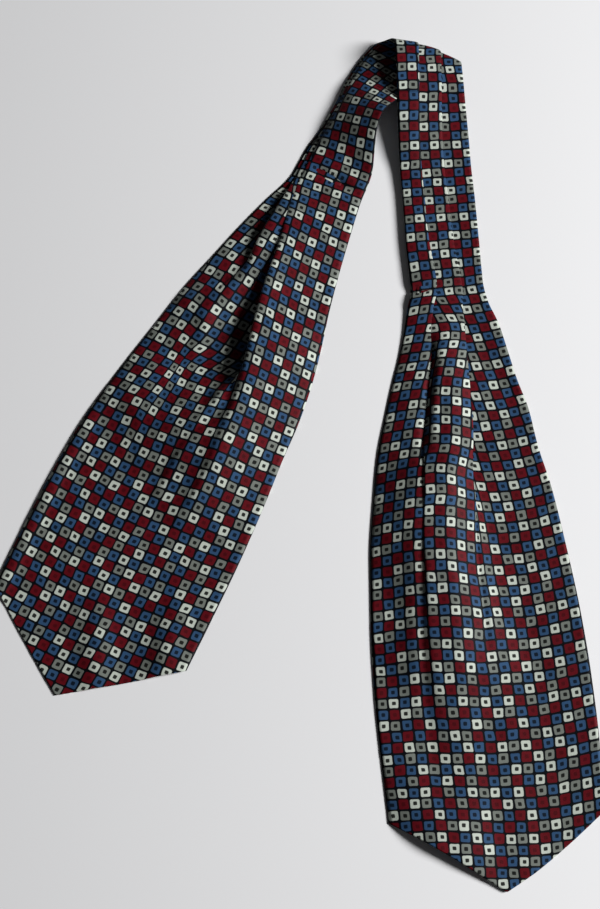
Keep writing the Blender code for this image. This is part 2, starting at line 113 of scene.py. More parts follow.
WIDE_RIGHT = (
    Pleat(-432, 72, -18, 1.6, 1.0),
    Pleat(-400, 72, -18, 2.0, 1.0),
    Pleat(-365, 72, -18, 1.4, 0.8),
    Pleat(-334, 74, -16, 1.4, 0.8),
    Pleat(-304, 74, -14, 2.8, 1.2),
    Pleat(-273, 74, -12, 6.6, 2.8),
    Pleat(-242, 73, -11, 7.0, 1.8),
    Pleat(-212, 71, -10, 7.0, 1.4),
    Pleat(-181, 69, -8, 6.8, 1.2),
    Pleat(-150, 68, 0, 5.0, 1.0),
    Pleat(-120, 66, 10, 3.6, BOTTOM),
    Pleat(-89, 59, 18, 2.4, BOTTOM),
    Pleat(-58, 50.5, 25, 2.8, BOTTOM),
    Pleat(-34, 44, 29, 3.0, BOTTOM),
    Pleat(-15, 40, 30, 3.0, BOTTOM),
    Pleat(0, 38, WIDE_TUCK, MIDDLE, BOTTOM),
    Pleat(60, 34.5, WIDE_TUCK, MIDDLE, BOTTOM),
    Pleat(121, 33, WIDE_TUCK + 1, MIDDLE, BOTTOM),
    Pleat(150, 33.5, WIDE_TUCK + 1, MIDDLE, BOTTOM),
    Pleat(190, 34.4, WIDE_TUCK + 1.5, MIDDLE, LOW),
    Pleat(212, 35, WIDE_TUCK + 1.5, MIDDLE, LOW),
)

# The three panels: height of the strip's edges and crown of each panel.  Bow is how far the middle
# of a row hangs back along the strip, and sway how far its left goes on and its right goes back.
Panel = namedtuple("Panel", "along left_edge right_edge left_crown middle_crown right_crown bow sway")
PANELS_RIGHT = (
    Panel(-432, BOTTOM, 1.0, 0.5, 0.0, 0.0, 3.5, 1.5),
    Panel(-400, BOTTOM, 2.4, 1.2, 0.2, -1.4, 3.5, 1.5),
    Panel(-365, BOTTOM, 3.0, 1.2, 0.4, -1.4, 3.5, 1.5),
    Panel(-334, BOTTOM, 3.2, 0.2, 0.6, -1.2, 3.4, 1.6),
    Panel(-304, BOTTOM, 3.2, -1.2, 0.8, -1.6, 3.3, 1.9),
    Panel(-273, BOTTOM, 3.2, -0.8, 2.0, -2.8, 3.1, 2.3),
    Panel(-242, BOTTOM, 3.2, -2.2, 2.3, -1.8, 3.0, 2.5),
    Panel(-212, BOTTOM, 3.2, -0.8, 3.0, -0.9, 2.9, 2.7),
    Panel(-181, BOTTOM, 3.4, 0.4, 2.2, -0.8, 2.8, 2.9),
    Panel(-150, BOTTOM, 3.4, 0.4, 4.4, -0.6, 2.6, 3.0),
    Panel(-120, BOTTOM, 3.4, 0.2, 6.4, -0.6, 2.4, 2.6),
    Panel(-89, BOTTOM, 3.0, 1.0, 6.0, 1.0, 2.1, 1.8),
    Panel(-58, BOTTOM, 3.0, 1.2, 5.6, 1.0, 1.5, 1.0),
    Panel(-34, 1.0, 2.4, 0.8, 3.4, 0.6, 1.0, 0.5),
    Panel(-12, 2.0, 1.8, 0.6, 1.0, 0.3, 0.4, 0.2),
    Panel(0, 2.6, 1.6, 0.5, 0.4, 0.2, 0.0, 0.0),
    Panel(60, 3.2, 1.8, 0.4, 0.2, 0.0, 0.0, 0.0),
    Panel(150, 3.6, 1.8, 0.3, 0.2, 0.0, 0.0, 0.0),
    Panel(190, HIGH, LOW, 0.0, 0.0, 0.0, 0.0, 0.0),
    Panel(212, HIGH, LOW, 0.0, 0.0, 0.0, 0.0, 0.0),
)

# How far the print has slid on the left, middle and right panels and at the right edge, mm: across,
# more being towards the left edge, and its rows, more being onwards along the strip.
Slide = namedtuple("Slide", "along left middle right edge left_rows middle_rows right_rows edge_rows")
SLIDES_RIGHT = (
    Slide(-432, 0.8, -0.4, -1.2, -1.2, 0, 0, 0, 0),
    Slide(-400, 0.8, -0.6, -1.4, -1.2, -0.5, -1.0, -0.6, 0),
    Slide(-370, 0.8, -0.2, -1.0, -1.0, -0.6, -0.6, -0.5, -0.3),
    Slide(-340, 0.4, 0.0, -0.3, -0.6, -0.3, -1.3, -0.5, -0.8),
    Slide(-310, -0.2, -0.1, 0.2, 0.4, -0.7, -1.4, -0.5, -0.9),
    Slide(-280, -0.5, 0.0, 0.7, 0.6, -1.4, -2.6, -0.7, -1.2),
    Slide(-250, -0.3, -0.8, -0.1, 0.1, -1.7, -2.1, -0.6, -1.2),
    Slide(-220, 0.0, -1.4, -0.2, -0.4, -1.8, -2.0, -0.9, -1.2),
    Slide(-190, 0.2, -3.4, -1.0, -0.9, -1.9, -0.9, -0.8, -1.2),
    Slide(-160, 0.2, -6.0, -1.8, -1.5, -3.0, -0.9, -0.4, -1.4),
    Slide(-130, -0.2, -5.8, -2.5, -2.5, -1.8, 0.4, 0.3, -0.7),
    Slide(-100, 0.5, -1.6, -1.6, -1.2, -1.6, 0.8, -0.9, -1.2),
    Slide(-75, 0.7, 1.2, -1.9, -1.6, -1.0, 0.8, -0.8, -0.6),
    Slide(-50, 0.6, 0.2, -1.4, -1.2, -1.1, -0.8, -2.3, -2.1),
    Slide(-30, 0.0, -1.2, -1.3, -1.0, -2.0, -2.6, -4.1, -4.0),
    Slide(-10, -0.8, -0.8, -2.8, -2.6, -2.7, -3.3, -4.0, -3.6),
    Slide(10, -0.2, -1.3, -2.3, -2.3, -3.2, -2.8, -2.8, -2.8),
    Slide(30, 0.5, -0.8, -2.3, -2.3, -0.9, -0.4, -0.8, -0.8),
    Slide(50, 0.8, -0.8, -2.3, -2.2, 0.0, 0.2, 0.1, 0.1),
    Slide(70, 1.1, -0.3, -2.1, -2.1, -0.9, -0.6, -0.3, -0.3),
    Slide(90, 1.0, -0.3, -2.2, -2.1, -1.3, -0.3, -0.5, -0.4),
    Slide(110, 0.6, -0.3, -2.3, -2.3, -0.3, 0.2, 0.1, 0),
    Slide(125, 0.5, -0.3, -1.9, -1.9, 0, -0.1, -0.1, -0.2),
    Slide(140, 0.1, -0.7, -2.4, -2.3, 0.2, -0.3, -0.6, -0.8),
    Slide(155, -0.4, -1.4, -2.6, -2.3, 1.4, 0.6, 0, -0.5),
    Slide(170, -0.2, -2.0, -2.9, -2.8, 3.0, 2.3, 1.7, 1.6),
    Slide(182, 0.2, -2.0, -2.0, -2.0, 3.3, 3.3, 2.9, 2.8),
    Slide(192, 0.1, -1.6, -1.7, -1.7, 3.8, 3.4, 2.2, 2.0),
    Slide(202, 0.4, -1.0, -1.9, -1.9, 4.0, 2.0, 1.1, 1.1),
    Slide(212, 0.8, -1.2, -2.4, -2.4, 1.0, 0, 0, 0),
)

# A crease or a soft swelling, from one place on the strip to another: along, and across from the
# left edge over every fold.  Rise is less than nothing for a trough.
Crease = namedtuple("Crease", "from_along from_across to_along to_across rise half_width")
CREASES_RIGHT = (
    Crease(1, -4, 1, 24, -1.5, 3.2),
    Crease(-9, -2, -12, 20, 0.9, 4.5),
    Crease(14, 0, 10, 26, 0.6, 6.0),
    Crease(1, 100, 2, 150, -0.7, 3.5),
    Crease(-14, 112, -26, 140, 0.7, 5.0),
    Crease(-40, 118, -96, 134, -0.9, 7.0),
    Crease(-300, 30, -372, 44, -0.7, 13.0),
    Crease(-46, 26.5, -134, 33.5, -3.2, 3.4),
    Crease(-48, 35.5, -132, 42, 3.4, 4.6),
)

# Where the points inside a panel stand between its folds, and their share of its crown.
EVEN_PAIR = ((0.33, 0.9), (0.67, 0.9))
MIDWAY = ((0.5, 1.0),)
RIDGED = ((0.4, 1.0), (0.72, 0.62))
LEVELLING = ((0.3, 1.0), (0.6, 0.3), (0.86, 0.0))

Half = namedtuple("Half", "face_up rails narrow wide panels slides creases middle_places right_places")
RIGHT_HALF = Half(
    True, RAILS_RIGHT, NARROW_RIGHT, WIDE_RIGHT, PANELS_RIGHT, SLIDES_RIGHT, CREASES_RIGHT,
    RIDGED, LEVELLING,
)

SPANS = 17                  # of the curve of a cross-section
SAMPLES = 6                 # points for each span
COLUMNS = SPANS * SAMPLES + 1
SHARP_TUCK, BROAD_TUCK = 4.0, -4.0      # a pleat's folds broaden as its tuck goes from one to the other
BROAD_FOLD = 3.0            # half the breadth of an opened fold
RETURN_SHARE = 0.8          # of the middle panel's crown, which the cloth under it follows
EDGE_DROP = 0.3             # share of its height by which the right edge stands over the cloth beside it
SLIDE_SPANS = (0, 3, 6.5, 10, 13.5, SPANS)      # where the columns of a Slide hold
CREASE_ENDS = 0.35          # share of its rise that a crease keeps at either end


def read_table(table, along):
    """Every column of a table at one place along the strip, on smooth curves with no overshoot."""
    rows = np.array(table, float)
    place = min(max(along, rows[0, 0]), rows[-1, 0])
    steps = np.diff(rows[:, 0])
    slopes = np.diff(rows, axis=0) / steps[:, None]
    before, after = slopes[:-1], slopes[1:]
    same_way = before * after > 0
    safe_sum = np.where(same_way, before + after, 1.0)
    inner = np.where(same_way, 2 * before * after / safe_sum, 0.0)
    tangents = np.vstack([slopes[:1], inner, slopes[-1:]])
    i = min(int(np.searchsorted(rows[:, 0], place, side="right")) - 1, len(steps) - 1)
    f = (place - rows[i, 0]) / steps[i]
    values = (
        (1 + 2 * f) * (1 - f) ** 2 * rows[i]
        + f * (1 - f) ** 2 * steps[i] * tangents[i]
        + f * f * (3 - 2 * f) * rows[i + 1]
        + f * f * (f - 1) * steps[i] * tangents[i + 1]
    )
    return type(table[0])(*values)


def panel_points(start, end, crown, places):
    """Points inside a panel between two folds, raised by its crown."""
    points = []
    for f, share in places:
        height = start[1] + (end[1] - start[1]) * f + crown * share
        points.append((start[0] + (end[0] - start[0]) * f, height))
    return points


def fold_pair(x, first, second, spread):
    """Two control points that round a fold, apart by one layer, and sideways once it has opened."""
    return [(x - spread, first), (x + spread, second)]


def section_controls(half, along, width):
    """Control points of the cross-section, from the left rail to the right one: (x, height)."""
    panels = read_table(half.panels, along)
    folds = []
    for table in (half.narrow, half.wide):
        pleat = read_table(table, along)
        lift = max(pleat.ridge - pleat.hollow, 0.0)
        gap = min(max(LAYER, lift - 3 * LAYER), lift / 2)   # the layer that goes back lies this far off
        opened = (SHARP_TUCK - pleat.tuck) / (SHARP_TUCK - BROAD_TUCK)
        spread = min(max(opened, 0.0), 1.0) * BROAD_FOLD
        if half.face_up:
            folds.append(fold_pair(pleat.edge, pleat.ridge, pleat.ridge - gap, spread))
            folds.append(fold_pair(pleat.edge - pleat.tuck, pleat.hollow + gap, pleat.hollow, spread))
        else:
            folds.append(fold_pair(pleat.edge + pleat.tuck, pleat.hollow, pleat.hollow + gap, spread))
            folds.append(fold_pair(pleat.edge, pleat.ridge - gap, pleat.ridge, spread))
    left_edge, right_edge = (0.0, panels.left_edge), (width, panels.right_edge)
    if half.face_up:
        return_crown = 0.0
        right_base = (width, EDGE_DROP * BOTTOM + (1 - EDGE_DROP) * panels.right_edge)
    else:
        return_crown = min(RETURN_SHARE * panels.middle_crown, panels.right_crown)
        right_base = right_edge
    points = [left_edge]
    points += panel_points(left_edge, folds[0][0], panels.left_crown, EVEN_PAIR) + folds[0]
    points += panel_points(folds[0][1], folds[1][0], 0.0, MIDWAY) + folds[1]
    points += panel_points(folds[1][1], folds[2][0], panels.middle_crown, half.middle_places) + folds[2]
    points += panel_points(folds[2][1], folds[3][0], return_crown, MIDWAY) + folds[3]
    points += panel_points(folds[3][1], right_base, panels.right_crown, half.right_places) + [right_edge]
    return np.array(points), panels


def section_curve(points):
    """A quadratic B-spline on the section's control points, its ends on the first and last."""
    curve = [points[:1]]
    f = (np.arange(1, SAMPLES + 1) / SAMPLES)[:, None]
    for i in range(1, len(points) - 1):
        start = points[0] if i == 1 else (points[i - 1] + points[i]) / 2
        end = points[-1] if i == len(points) - 2 else (points[i] + points[i + 1]) / 2
        curve.append((1 - f) ** 2 * start + 2 * f * (1 - f) * points[i] + f * f * end)
    return np.vstack(curve)


def rail_points(table, along):
    """The strip's left and right edge at one place along it, on the middle layer."""
    rail = read_table(table, along)
    left = np.array([rail.left_x - CENTRE[0], rail.left_y - CENTRE[1], MIDDLE + rail.left_lift])
    right = np.array([rail.right_x - CENTRE[0], rail.right_y - CENTRE[1], MIDDLE + rail.right_lift])
    return left, right


def rail_chord(table, along, t, rise, panels):
    """Points between the rails, raised along the cloth's own normal.  t and rise are columns."""
    left, right = rail_points(table, along)
    before, after = rail_points(table, along - 1.0), rail_points(table, along + 1.0)
    across = right - left
    forward = (after[0] - before[0]) * (1 - t) + (after[1] - before[1]) * t
    forward /= np.linalg.norm(forward, axis=1)[:, None]
    outward = np.cross(across, forward)
    outward /= np.linalg.norm(outward, axis=1)[:, None]
    drift = panels.sway * np.sin(2 * np.pi * t) - panels.bow * 4 * t * (1 - t)
    return left + across * t + outward * rise + forward * drift


def print_places(points, slides):
    """Where each point of a row lies on the flat cloth, mm: across, and how far its rows have slid."""
    s = np.concatenate([[0.0], np.cumsum(np.linalg.norm(np.diff(points, axis=0), axis=1))])
    spare = CLOTH_WIDTH - s[-1]
    span = np.arange(len(s)) / SAMPLES
    middle = spare / 2 + slides.middle
    shift = (slides.left, slides.left, middle, middle, spare + slides.right, spare + slides.edge)
    left, middle = slides.left_rows, slides.middle_rows
    rows = (left, left, middle, middle, slides.right_rows, slides.edge_rows)
    return s + np.interp(span, SLIDE_SPANS, shift), np.interp(span, SLIDE_SPANS, rows)


def crease_rise(creases, along, across):
    """How far the creases raise each point of a row, mm."""
    rise = np.zeros_like(across)
    for crease in creases:
        start = np.array([crease.from_along, crease.from_across])
        run = np.array([crease.to_along, crease.to_across]) - start
        reach = np.stack([np.full_like(across, along), across], axis=1) - start
        f = np.clip(reach @ run / (run @ run), 0.0, 1.0)
        off = np.linalg.norm(reach - f[:, None] * run, axis=1)
        share = CREASE_ENDS + (1 - CREASE_ENDS) * np.sin(np.pi * f)
        rise += crease.rise * share * np.exp(-((off / crease.half_width) ** 2))
    return rise


def blade_row(half, along):
    """One row of a half of the cravat away from the roll: its points and their places in the print."""
    left, right = rail_points(half.rails, along)
    width = float(np.hypot(*(right - left)[:2]))
    controls, panels = section_controls(half, along, width)
    curve = section_curve(controls)
    across = np.concatenate([[0.0], np.cumsum(np.linalg.norm(np.diff(curve, axis=0), axis=1))])
    height = curve[:, 1] + crease_rise(half.creases, along, across)
    height = np.maximum(height, BOTTOM)[:, None]
    rise = (height - MIDDLE) * (1 if half.face_up else -1)
    points = rail_chord(half.rails, along, curve[:, :1] / width, rise, panels)
    return points, *print_places(points, read_table(half.slides, along))


# The print: a small repeat of eight squares by eight, charted.  C cream, G grey, B blue,
# R red; each with a dark speck in the middle, on a navy ground.  The squares are drawn in columns
# and rows of the print, and their sizes are in these.
PRINT_PITCH = 7.6           # from one column or row to the next, mm
CHART = (
    "RBGRBCRG",
    "GCBCRGBC",
    "BRCGBRGR",
    "CGBRCBRB",
    "RBRBRGCG",
    "BRCGCRBC",
    "CBGBRCGR",
    "GRBCGBCB",
)
Dye = namedtuple("Dye", "red green blue speck")     # speck: how much of it its dark middle covers
DYES = {
    "C": Dye(181, 188, 178, 1.0),
    "G": Dye(110, 115, 109, 0.98),
    "B": Dye(44, 73, 106, 0.9),
    "R": Dye(88, 9, 19, 0.4),
}
GROUND = Dye(2, 5, 10, 0)
FACE_COLUMN = 0.6           # print columns from the strip's left edge to the middle of column 0
ROW_OF_NECK = -47           # print row at the right neck
HALF_SQUARE = 0.405
SQUARE_CORNER = 0.13
FAINT_MORE = 0.025          # squares with a faint speck, the red ones, are this much larger
HALF_SPECK = 0.17
SPECK_CORNER = 0.09
PRINTED_EDGE = 0.03         # half the breadth over which an edge of ink fades
WANDER = 0.10               # how far rows and columns stray in the printing
SQUARE_STRAY = 0.05         # how far a square is off its own place,
SQUARE_LEAN = 0.12          # how far its sides lean,
SQUARE_SPREAD = 0.025       # how much squares differ in size
SPECK_STRAY = 0.07          # and how far a speck is off the middle
INK_LEFT = 0.04             # of a square's colour under its speck
TWILL_LINES = 22.0          # to a column


def linear(dye):
    """The dye's screen colour as light."""
    values = [v / 255 for v in dye[:3]]
    return tuple(v / 12.92 if v <= 0.04045 else ((v + 0.055) / 1.055) ** 2.4 for v in values)


class Wire:
    """One output in a shader, with arithmetic: each operator adds its Math node."""

    def __init__(self, shader, socket):
        self.shader, self.socket = shader, socket

    def calculate(self, operation, *values):
        return self.shader.node("ShaderNodeMath", {"operation": operation}, dict(enumerate(values)))

    def __add__(self, other):
        return self.calculate("ADD", self, other)

    def __sub__(self, other):
        return self.calculate("SUBTRACT", self, other)

    def __mul__(self, other):
        return self.calculate("MULTIPLY", self, other)

    def __truediv__(self, other):
        return self.calculate("DIVIDE", self, other)

    def __pow__(self, other):
        return self.calculate("POWER", self, other)

    def __mod__(self, other):
        return self.calculate("FLOORED_MODULO", self, other)

    def __abs__(self):
        return self.calculate("ABSOLUTE", self)

    def __gt__(self, other):
        return self.calculate("GREATER_THAN", self, other)

    def __radd__(self, other):
        return self + other

    def __rsub__(self, other):
        return self.calculate("SUBTRACT", other, self)

    def __rmul__(self, other):
        return self * other

    def floor(self):
        return self.calculate("FLOOR", self)

    def at_least(self, other):
        return self.calculate("MAXIMUM", self, other)


class Shader:
    """A material and the nodes in it."""

    def __init__(self, name):
        self.material = bpy.data.materials.new(name)
        self.material.use_nodes = True
        self.tree = self.material.node_tree
        self.surface = self.tree.nodes["Principled BSDF"]

    def node(self, kind, settings=None, sockets=None, output=0):
        """Adds a node: its settings first, then the values or links of its sockets."""
        made = self.tree.nodes.new(kind)
        for name, value in (settings or {}).items():
            if name == "stops":
                while len(made.color_ramp.elements) > 1:
                    made.color_ramp.elements.remove(made.color_ramp.elements[-1])
                for k, (position, colour) in enumerate(value):
                    stop = made.color_ramp.elements[0] if k == 0 else made.color_ramp.elements.new(position)
                    stop.position, stop.color = position, colour
            elif name == "steps":
                made.color_ramp.interpolation = value
            else:
                setattr(made, name, value)
        for name, value in (sockets or {}).items():
            self.feed(made.inputs[name], value)
        return Wire(self, made.outputs[output])

    def feed(self, socket, value):
        if isinstance(value, Wire):
            self.tree.links.new(value.socket, socket)
        else:
            socket.default_value = value

    def pair(self, wire):
        """The first two numbers of a vector or colour."""
        split = self.node("ShaderNodeSeparateXYZ", None, {0: wire}).socket.node
        return Wire(self, split.outputs[0]), Wire(self, split.outputs[1])

    def mix(self, share, first, second):
        settings = {"data_type": "RGBA", "clamp_factor": True}
        return self.node("ShaderNodeMix", settings, {0: share, 6: first, 7: second}, 2)

    def ease(self, value, low, high):
        """0 at low, 1 at high, smooth between."""
        settings = {"interpolation_type": "SMOOTHSTEP"}
        return self.node("ShaderNodeMapRange", settings, {0: value, 1: low, 2: high, 3: 0.0, 4: 1.0})

    def noise(self, place, scale, detail, output=0):
        settings = {"noise_dimensions": "2D"}
        sockets = {"Vector": place, "Scale": scale, "Detail": detail}
        return self.node("ShaderNodeTexNoise", settings, sockets, output)

    def scaled(self, colour, factor):
        return self.node("ShaderNodeVectorMath", {"operation": "SCALE"}, {0: colour, "Scale": factor})


def chart_stops(rows):
    """The ramp's stops for some rows of the chart: each square's dye, with its speck as alpha."""
    stops = []
    letters = "".join(rows)
    for k, letter in enumerate(letters):
        dye = DYES[letter]
        stops.append((k / len(letters), (*linear(dye), dye.speck)))
    return stops


def charted(shader, column, row):
    """The dye and the speck that the chart gives a square, by two ramps of half the chart each."""
    side = len(CHART)
    half = side * side // 2
    number = (row % float(side)) * float(side) + (column % float(side))
    colours, specks = [], []
    for k, rows in enumerate((CHART[:side // 2], CHART[side // 2:])):
        settings = {"steps": "CONSTANT", "stops": chart_stops(rows)}
        ramp = shader.node("ShaderNodeValToRGB", settings, {0: (number + (0.5 - k * half)) / float(half)})
        colours.append(ramp)
        specks.append(Wire(shader, ramp.socket.node.outputs[1]))
    later = number > half - 0.5
    return shader.mix(later, *colours), specks[0] + (specks[1] - specks[0]) * later


def inside_square(shader, x, y, half_side, corner):
    """1 inside a square with round corners, in print columns, and 0 outside."""
    beyond_x = (abs(x) - (half_side - corner)).at_least(0.0)
    beyond_y = (abs(y) - (half_side - corner)).at_least(0.0)
    outside = (beyond_x * beyond_x + beyond_y * beyond_y) ** 0.5 - corner
    return 1.0 - shader.ease(outside, -PRINTED_EDGE, PRINTED_EDGE)


def silk(name, reverse):
    """Printed silk twill.  The reverse carries the same cloth seen from its other side."""
    s = Shader(name)
    place = s.node("ShaderNodeUVMap", {"uv_map": "print"})
    x, y = s.pair(place)
    if reverse:
        x = -1.0 - x
    wander_x, wander_y = s.pair(s.noise(place, 1.1, 1.0, output=1))
    x = x + (wander_x - 0.5) * WANDER
    y = y + (wander_y - 0.5) * WANDER

    # each square is set a little askew, larger or smaller, and its speck a little off the middle
    column, row = (x + 0.5).floor(), (y + 0.5).floor()
    cell = s.node("ShaderNodeCombineXYZ", None, {0: column, 1: row})
    luck = s.node("ShaderNodeTexWhiteNoise", {"noise_dimensions": "2D"}, {"Vector": cell}, 1)
    luck, other_luck = s.pair(luck)
    off, other_off = luck - 0.5, other_luck - 0.5
    in_x = x - column + off * SQUARE_STRAY
    in_y = y - row + other_off * SQUARE_STRAY
    in_x, in_y = in_x + in_y * off * SQUARE_LEAN, in_y + in_x * other_off * SQUARE_LEAN
    dye, speck = charted(s, column, row)
    faint = (0.5 - speck) > 0.0
    half_side = HALF_SQUARE + faint * FAINT_MORE + other_off * SQUARE_SPREAD
    square = inside_square(s, in_x, in_y, half_side, SQUARE_CORNER)
    speck_x, speck_y = in_x + other_off * SPECK_STRAY, in_y + off * SPECK_STRAY
    dot = inside_square(s, speck_x, speck_y, HALF_SPECK, SPECK_CORNER)

    wear = s.noise(place, 0.35, 3.0)
    toned = s.scaled(dye, 0.90 + wear * 0.12 + other_luck * 0.10)
    printed = s.mix(square, (*linear(GROUND), 1.0), toned)
    printed = s.mix(dot * speck, printed, s.scaled(toned, INK_LEFT))
    s.feed(s.surface.inputs["Base Color"], printed)
    s.feed(s.surface.inputs["Roughness"], 0.52 + wear * 0.14)

    # the diagonal lines of the twill, its uneven yarn and the body of the ink
    twill = abs(((x + y) * TWILL_LINES) % 1.0 - 0.5) * 2.0
    relief = twill * 0.5 + s.noise(place, 14.0, 3.0) * 0.9 + square * 0.15
    bump = s.node("ShaderNodeBump", None, {"Strength": 0.25, "Distance": 0.0002, "Height": relief})
    s.feed(s.surface.inputs["Normal"], bump)
    s.surface.inputs["Sheen Weight"].default_value = 0.02
    s.surface.inputs["Sheen Roughness"].default_value = 0.4
    s.surface.inputs["Sheen Tint"].default_value = (0.85, 0.9, 1.0, 1.0)
    s.surface.inputs["Specular IOR Level"].default_value = 0.08
    return s.material


FACE_SILK = silk("silk_face", False)
BACK_SILK = silk("silk_reverse", True)


def deselect():
    if bpy.context.object and bpy.context.object.mode != "OBJECT":
        bpy.ops.object.mode_set(mode="OBJECT")
    bpy.ops.object.select_all(action="DESELECT")


def lay_strip(name, rows, place, row_of_cloth):
    """A stretch of the strip as a grid laid on the cloth, row by row, and given its wall.

    place says how far along the strip a point lies, from its fraction of the stretch and its
    column; row_of_cloth gives the points of a row, and the places in the print.
    """
    deselect()
    bpy.ops.mesh.primitive_grid_add(x_subdivisions=COLUMNS - 1, y_subdivisions=rows, size=1.0)
    strip = bpy.context.active_object
    strip.name = strip.data.name = name
    flat = np.zeros(len(strip.data.vertices) * 3)
    strip.data.vertices.foreach_get("co", flat)
    flat = flat.reshape(-1, 3)
    column = np.rint((flat[:, 0] + 0.5) * (COLUMNS - 1)).astype(int)
    fraction = np.rint((flat[:, 1] + 0.5) * rows) / rows
    at, prints, known = np.zeros_like(flat), np.zeros((len(flat), 2)), {}
    for k in range(len(flat)):
        along = place(fraction[k], column[k])
        if along not in known:
            known[along] = row_of_cloth(along)
        points, across, slid = (values[column[k]] for values in known[along])
        at[k] = points
        prints[k] = (across / PRINT_PITCH - FACE_COLUMN, ROW_OF_NECK - (along - slid) / PRINT_PITCH)
    strip.data.vertices.foreach_set("co", (at * MM).ravel())
    corner = np.zeros(len(strip.data.loops), int)
    strip.data.loops.foreach_get("vertex_index", corner)
    layer = strip.data.uv_layers[0]
    layer.name = "print"
    layer.data.foreach_set("uv", prints[corner].ravel())
    strip.data.materials.append(FACE_SILK)
    strip.data.materials.append(BACK_SILK)
    strip.data.update()
    wall = strip.modifiers.new("wall", "SOLIDIFY")
    wall.thickness = WALL * MM
    wall.offset = 0.0
    wall.thickness_clamp = 2.0
    wall.material_offset = 1
    bpy.ops.object.modifier_apply(modifier="wall")
    strip.data.shade_smooth()
    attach(strip, "root")
    return strip


RIGHT_POINT, RIGHT_CORNERS = -431.0, -385.0
POINT_START = 90.0          # how far before the point the rows begin to lean
BLADE_ROWS = 260


def blade_place(start, end, point, corners, half):
    """Rows of a blade: from its neck they lean more and more to the hem's two slopes."""
    sides = section_curve(section_controls(half, corners, CLOTH_WIDTH)[0])[:, 0] / CLOTH_WIDTH
    lean_from = point - np.sign(point) * POINT_START

    def place(fraction, column):
        along = start + (end - start) * fraction
        if (along - lean_from) * np.sign(point) > 0:
            hem = point + (corners - point) * abs(2 * sides[column] - 1)
            along = lean_from + (along - lean_from) * (hem - lean_from) / (point - lean_from)
        return round(along, 1)

    return place


right_blade = lay_strip(
    "right_blade_silk",
    BLADE_ROWS,
    blade_place(RIGHT_POINT, -SEAM_GAP / 2, RIGHT_POINT, RIGHT_CORNERS, RIGHT_HALF),
    lambda along: blade_row(RIGHT_HALF, along),
)
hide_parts("right_blade")

# ---------------------------------------------------------------- right neckband
# The same strip with both pleats folded in, stitched across at the neck and pressed.  Towards the
# turn it is raised by the cloth that lies under it there.

TURN_START = 165.0
JOIN_GAP = 0.04             # where the strip runs on without stitches
RIGHT_BAND_ROWS = 90


def straight_place(start, end):
    """Rows that run straight across the strip."""
    return lambda fraction, column: start + (end - start) * fraction


right_neckband = lay_strip(
    "right_neckband_silk",
    RIGHT_BAND_ROWS,
    straight_place(SEAM_GAP / 2, TURN_START - JOIN_GAP / 2),
    lambda along: blade_row(RIGHT_HALF, along),
)
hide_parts("right_neckband")

# ---------------------------------------------------------------- turn of the neckband
# At the top the band rolls back over itself on a slant and comes out on the left with its face
# down.  It is the same folded cloth, held by nothing.

RAILS_LEFT = (
    Rail(204, 72, 340, 11, 114, 315, 0),
    Rail(213, 66, 337, 5, 107.5, 309, 0),
    Rail(222, 59, 333.8, 2.5, 101, 303, 0.5),
    Rail(231, 53, 328, 1.5, 93, 296.5, 2),
    Rail(240, 47.2, 321.5, 1.0, 85.5, 289.5, 4),
    Rail(250, 43, 315.4, 0.8, 80.5, 285, 6),
    Rail(258, 39, 309, 0.6, 75.2, 280.5, 8),
    Rail(273, 33, 297.6, 0.8, 68.5, 272, 13),
    Rail(289, 27, 283.2, 0.4, 62.5, 264.1, 15.5),
    Rail(304, 20, 270, 0.2, 58, 251.4, 15),
    Rail(320, 12.5, 256, 0, 55.5, 234.5, 11),
    Rail(334, 5, 244, 0, 53.5, 220.5, 5),
    Rail(348, -1, 231.8, 0, 50, 210.6, 1.2),
    Rail(361, -7, 220, 0, 46, 201, 0),
    Rail(395, -25.7, 199.6, 0, 36.5, 169, 0),
    Rail(425, -45.7, 176.6, 0, 28.5, 139.5, 0),
    Rail(456, -64.2, 153.6, 0, 21.3, 110, 0),
    Rail(486, -83.7, 129.6, 0, 15, 79.6, 0),
    Rail(516, -103.6, 101, 0, 8, 50.4, 0),
    Rail(547, -122.8, 73.4, 0, -1.4, 21.4, 0),
    Rail(577, -139.8, 47.9, 0, -12.4, -5.6, 0),
    Rail(608, -154.8, 23.4, 0, -23.4, -34.6, 0),
    Rail(653, -174.8, -16.6, 0, -40.6, -77, 0),
    Rail(699, -192.8, -57.3, 0, -59, -118.4, 0),
    Rail(740, -209, -95.6, 0, -76.6, -156.2, 0),
    Rail(788, -229, -139.6, 0, -97, -199, 0),
)
NARROW_LEFT = (
    Pleat(212, 1.5, NARROW_TUCK + 1.5, MIDDLE, LOW),
    Pleat(250, 2, NARROW_TUCK + 2, MIDDLE, BOTTOM),
    Pleat(300, 3, NARROW_TUCK + 2, MIDDLE, BOTTOM),
    Pleat(361, 4, NARROW_TUCK - 1.5, MIDDLE, BOTTOM),
    Pleat(377, 7, 11, 4.2, BOTTOM),
    Pleat(395, 11, 7, 5.8, 0.6),
    Pleat(425, 18, 2.5, 7.6, 0.8),
    Pleat(456, 27, -4, 7.4, 2.6),
    Pleat(475, 27, -9, 7.2, 4.2),
    Pleat(494, 24.5, -12, 7.4, 4.8),
    Pleat(508, 30, -12, 4.8, 3.0),
    Pleat(530, 38, -12, 2.0, 1.8),
    Pleat(552, 43, -13, 4.8, 4.6),
    Pleat(577, 45, -13, 5.8, 5.4),
    Pleat(600, 46, -13, 4.2, 1.6),
    Pleat(625, 46, -13, 0.8, 0.6),
    Pleat(650, 46, -13, BOTTOM, BOTTOM),
)
